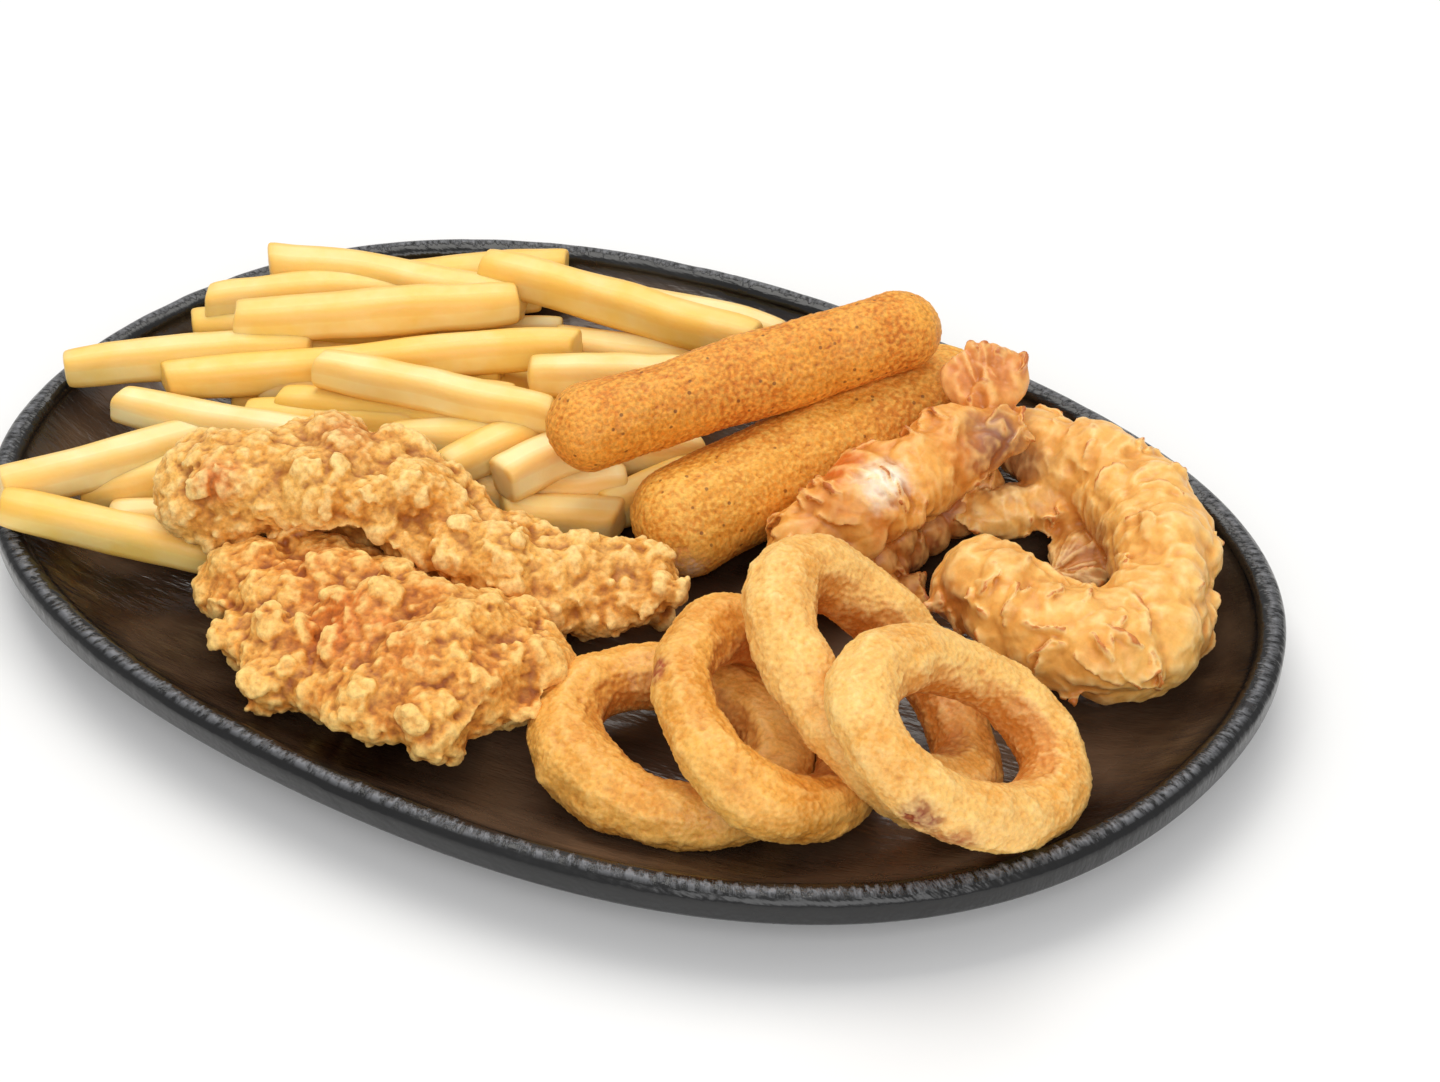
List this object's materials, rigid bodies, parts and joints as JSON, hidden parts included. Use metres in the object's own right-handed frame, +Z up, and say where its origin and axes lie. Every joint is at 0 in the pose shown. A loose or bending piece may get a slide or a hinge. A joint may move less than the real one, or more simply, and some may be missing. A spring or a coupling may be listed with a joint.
{
  "type": "fried seafood and chicken platter with fries",
  "caption": "Oval stoneware plate holding a heap of fries, breaded sticks, craggy chicken strips, crumbed onion rings and battered prawns, laid out as a fried sharing meal.",
  "frame": {"origin": "Under the middle of the plate, on the surface it stands on.", "axes": "+X along the plate's length, toward the prawns; +Y toward the back of the plate, away from the chicken strips; +Z up."},
  "size_m": [0.3048, 0.2078, 0.0576],
  "materials": {
    "stoneware_glaze": "glossy dark glaze, worn at the rim",
    "fried_potato": "oily, softly crisp",
    "pale_crumb": "fine dry crumb",
    "fine_crumb": "fine dry crumb",
    "ring_crumb": "fine golden crumb",
    "rough_batter": "craggy fried coating",
    "flaky_batter": "blistered fried batter"
  },
  "bodies": {
    "root": {"plate": "stoneware_glaze", "fries": "fried_potato", "breaded_stick_lower": "pale_crumb", "breaded_stick_upper": "fine_crumb", "onion_ring_a": "ring_crumb", "onion_ring_b": "ring_crumb", "onion_ring_c": "ring_crumb", "onion_ring_d": "ring_crumb", "chicken_strip_front": "rough_batter", "chicken_strip_rear": "rough_batter", "prawn_right": "flaky_batter", "prawn_left": "flaky_batter"}
  },
  "joints": []
}
